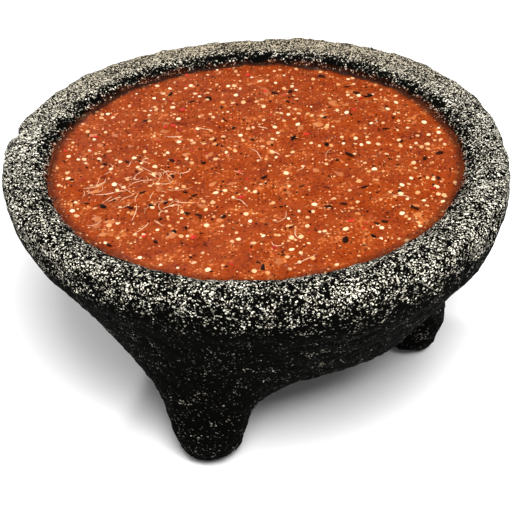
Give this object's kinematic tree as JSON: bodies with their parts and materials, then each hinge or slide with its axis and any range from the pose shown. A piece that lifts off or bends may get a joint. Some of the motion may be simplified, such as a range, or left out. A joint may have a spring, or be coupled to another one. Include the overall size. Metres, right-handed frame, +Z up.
{
  "type": "molcajete",
  "caption": "Basalt mortar bowl on three carved stub legs, used as a serving dish and filled to the rim with roasted tomatillo and chile salsa.",
  "frame": {"origin": "on the bowl's axis at the level of the ground under the feet", "axes": "+Z up along the bowl's axis, -Y towards the front, where one leg stands a little left of the middle, +X to the right"},
  "size_m": [0.2028, 0.2028, 0.105],
  "materials": {
    "basalt": "matte",
    "salsa": "gloss",
    "seed": "satin",
    "charred_skin": "satin",
    "chile": "satin",
    "pulp": "satin",
    "fibre": "satin"
  },
  "bodies": {
    "root": {"stone_mortar": "basalt", "salsa": "salsa", "tomatillo_seeds": "seed", "charred_skin_flecks": "charred_skin", "red_chile_flakes": "chile", "pulp_lumps": "pulp", "pulp_fibres": "fibre"}
  },
  "joints": []
}
